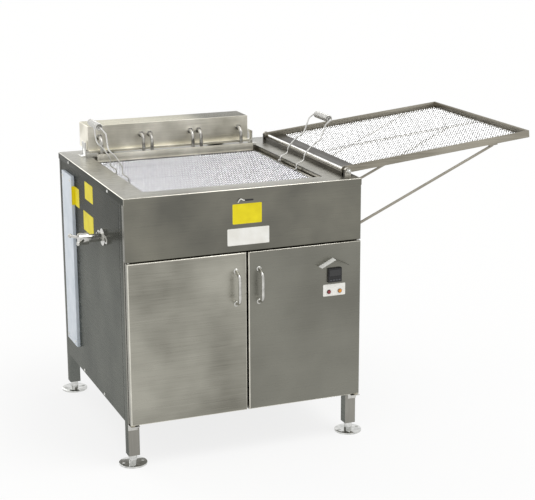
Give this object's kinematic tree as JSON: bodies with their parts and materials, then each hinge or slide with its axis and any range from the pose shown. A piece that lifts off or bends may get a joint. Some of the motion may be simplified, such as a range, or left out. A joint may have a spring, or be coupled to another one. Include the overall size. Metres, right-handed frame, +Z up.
{
  "type": "electric donut fryer",
  "caption": "Free-standing stainless open-kettle donut fryer with swing-up heating head, lift-out fry screen with wire bails, hinged drain tray and cabinet doors.",
  "frame": {"origin": "on the floor, in the middle of the four levelling feet", "axes": "+X to the right towards the drain tray, -Y towards the front doors, +Z up"},
  "size_m": [1.5635, 0.8907, 1.072],
  "materials": {
    "stainless": "satin brushed",
    "bright_steel": "polished",
    "wire": "bright nickel plate",
    "heating_tube": "heat darkened",
    "raceway_paint": "smooth paint",
    "black_plastic": "fine grain",
    "key_plastic": "soft",
    "cream_plastic": "moulded",
    "red_lens": "clear moulded",
    "amber_lens": "clear moulded"
  },
  "bodies": {
    "cabinet": {"deck": "stainless", "kettle": "stainless", "front_apron": "stainless", "left_side_panel": "stainless", "right_side_panel": "stainless", "rear_panel": "stainless", "floor_pan": "stainless", "corner_posts": "stainless", "levelling_feet": "bright_steel", "raceway": "raceway_paint", "panel_screws": "bright_steel", "port_pipe": "bright_steel", "port_flange": "bright_steel", "port_bolts": "bright_steel", "electrical_panel": "stainless", "contactors": "cream_plastic", "high_limit_thermostat": "black_plastic", "temperature_probe": "bright_steel", "cable_gland": "black_plastic", "head_guides": "stainless", "head_hinge_lower": "bright_steel", "tray_posts": "stainless", "tray_hinge_rod": "bright_steel", "tray_rod_nuts": "bright_steel", "door_pivots": "bright_steel", "door_washers": "cream_plastic", "door_catches": "black_plastic"},
    "port_cap": {"wing_cap": "bright_steel"},
    "head": {"head_cover": "stainless", "head_base": "stainless", "head_hinge_upper": "bright_steel", "element_left": "heating_tube", "element_centre": "heating_tube", "element_right": "heating_tube", "element_nuts": "bright_steel", "terminal_blocks": "cream_plastic", "screen_rack": "stainless"},
    "fry_screen": {"screen_frame": "wire", "screen_net": "wire"},
    "left_handle": {"left_bail": "wire", "left_grip": "wire"},
    "right_handle": {"right_bail": "wire", "right_grip": "wire"},
    "drain_tray": {"tray_frame": "stainless", "tray_net": "wire", "tray_drip_sheet": "stainless", "tray_braces": "stainless"},
    "left_leaf": {"left_door": "stainless", "left_pull": "bright_steel"},
    "right_leaf": {"right_door": "stainless", "right_pull": "bright_steel", "controller": "black_plastic", "hood": "bright_steel", "lamp_red": "red_lens", "lamp_amber": "amber_lens", "wiring_box": "stainless"},
    "key_body_1": {"key_1": "key_plastic"},
    "key_body_2": {"key_2": "key_plastic"},
    "key_body_3": {"key_3": "key_plastic"},
    "key_body_4": {"key_4": "key_plastic"}
  },
  "joints": [
    {"name": "left_door_hinge", "type": "hinge", "parent": "cabinet", "child": "left_leaf", "pos_m": [-0.3895, -0.416, 0.411], "axis": [0, 0, -1], "range_deg": [0, 110]},
    {"name": "right_door_hinge", "type": "hinge", "parent": "cabinet", "child": "right_leaf", "pos_m": [0.3895, -0.416, 0.411], "axis": [0, 0, 1], "range_deg": [0, 110]},
    {"name": "head_hinge", "type": "hinge", "parent": "cabinet", "child": "head", "pos_m": [-0.023, 0.392, 0.895], "axis": [-1, 0, 0], "range_deg": [0, 85]},
    {"name": "screen_lift", "type": "slide", "parent": "head", "child": "fry_screen", "axis": [0, 0, 1], "range_m": [0, 0.25]},
    {"name": "left_bail_pivot", "type": "hinge", "parent": "fry_screen", "child": "left_handle", "pos_m": [-0.306, -0.084, 0.876], "axis": [0, 1, 0], "range_deg": [0, 94]},
    {"name": "right_bail_pivot", "type": "hinge", "parent": "fry_screen", "child": "right_handle", "pos_m": [0.282, -0.084, 0.876], "axis": [0, -1, 0], "range_deg": [0, 108]},
    {"name": "tray_hinge", "type": "hinge", "parent": "cabinet", "child": "drain_tray", "pos_m": [0.364, -0.029, 0.9065], "axis": [0, -1, 0], "range_deg": [0, 45]},
    {"name": "cap_turn", "type": "hinge", "parent": "cabinet", "child": "port_cap", "pos_m": [-0.47, -0.185, 0.712], "axis": [-1, 0, 0], "range_deg": [0, 330]},
    {"name": "key_1_press", "type": "slide", "parent": "right_leaf", "child": "key_body_1", "axis": [0, 1, 0], "range_m": [0, 0.0008], "stiffness_N_per_m": 300},
    {"name": "key_2_press", "type": "slide", "parent": "right_leaf", "child": "key_body_2", "axis": [0, 1, 0], "range_m": [0, 0.0008], "stiffness_N_per_m": 300},
    {"name": "key_3_press", "type": "slide", "parent": "right_leaf", "child": "key_body_3", "axis": [0, 1, 0], "range_m": [0, 0.0008], "stiffness_N_per_m": 300},
    {"name": "key_4_press", "type": "slide", "parent": "right_leaf", "child": "key_body_4", "axis": [0, 1, 0], "range_m": [0, 0.0008], "stiffness_N_per_m": 300}
  ]
}
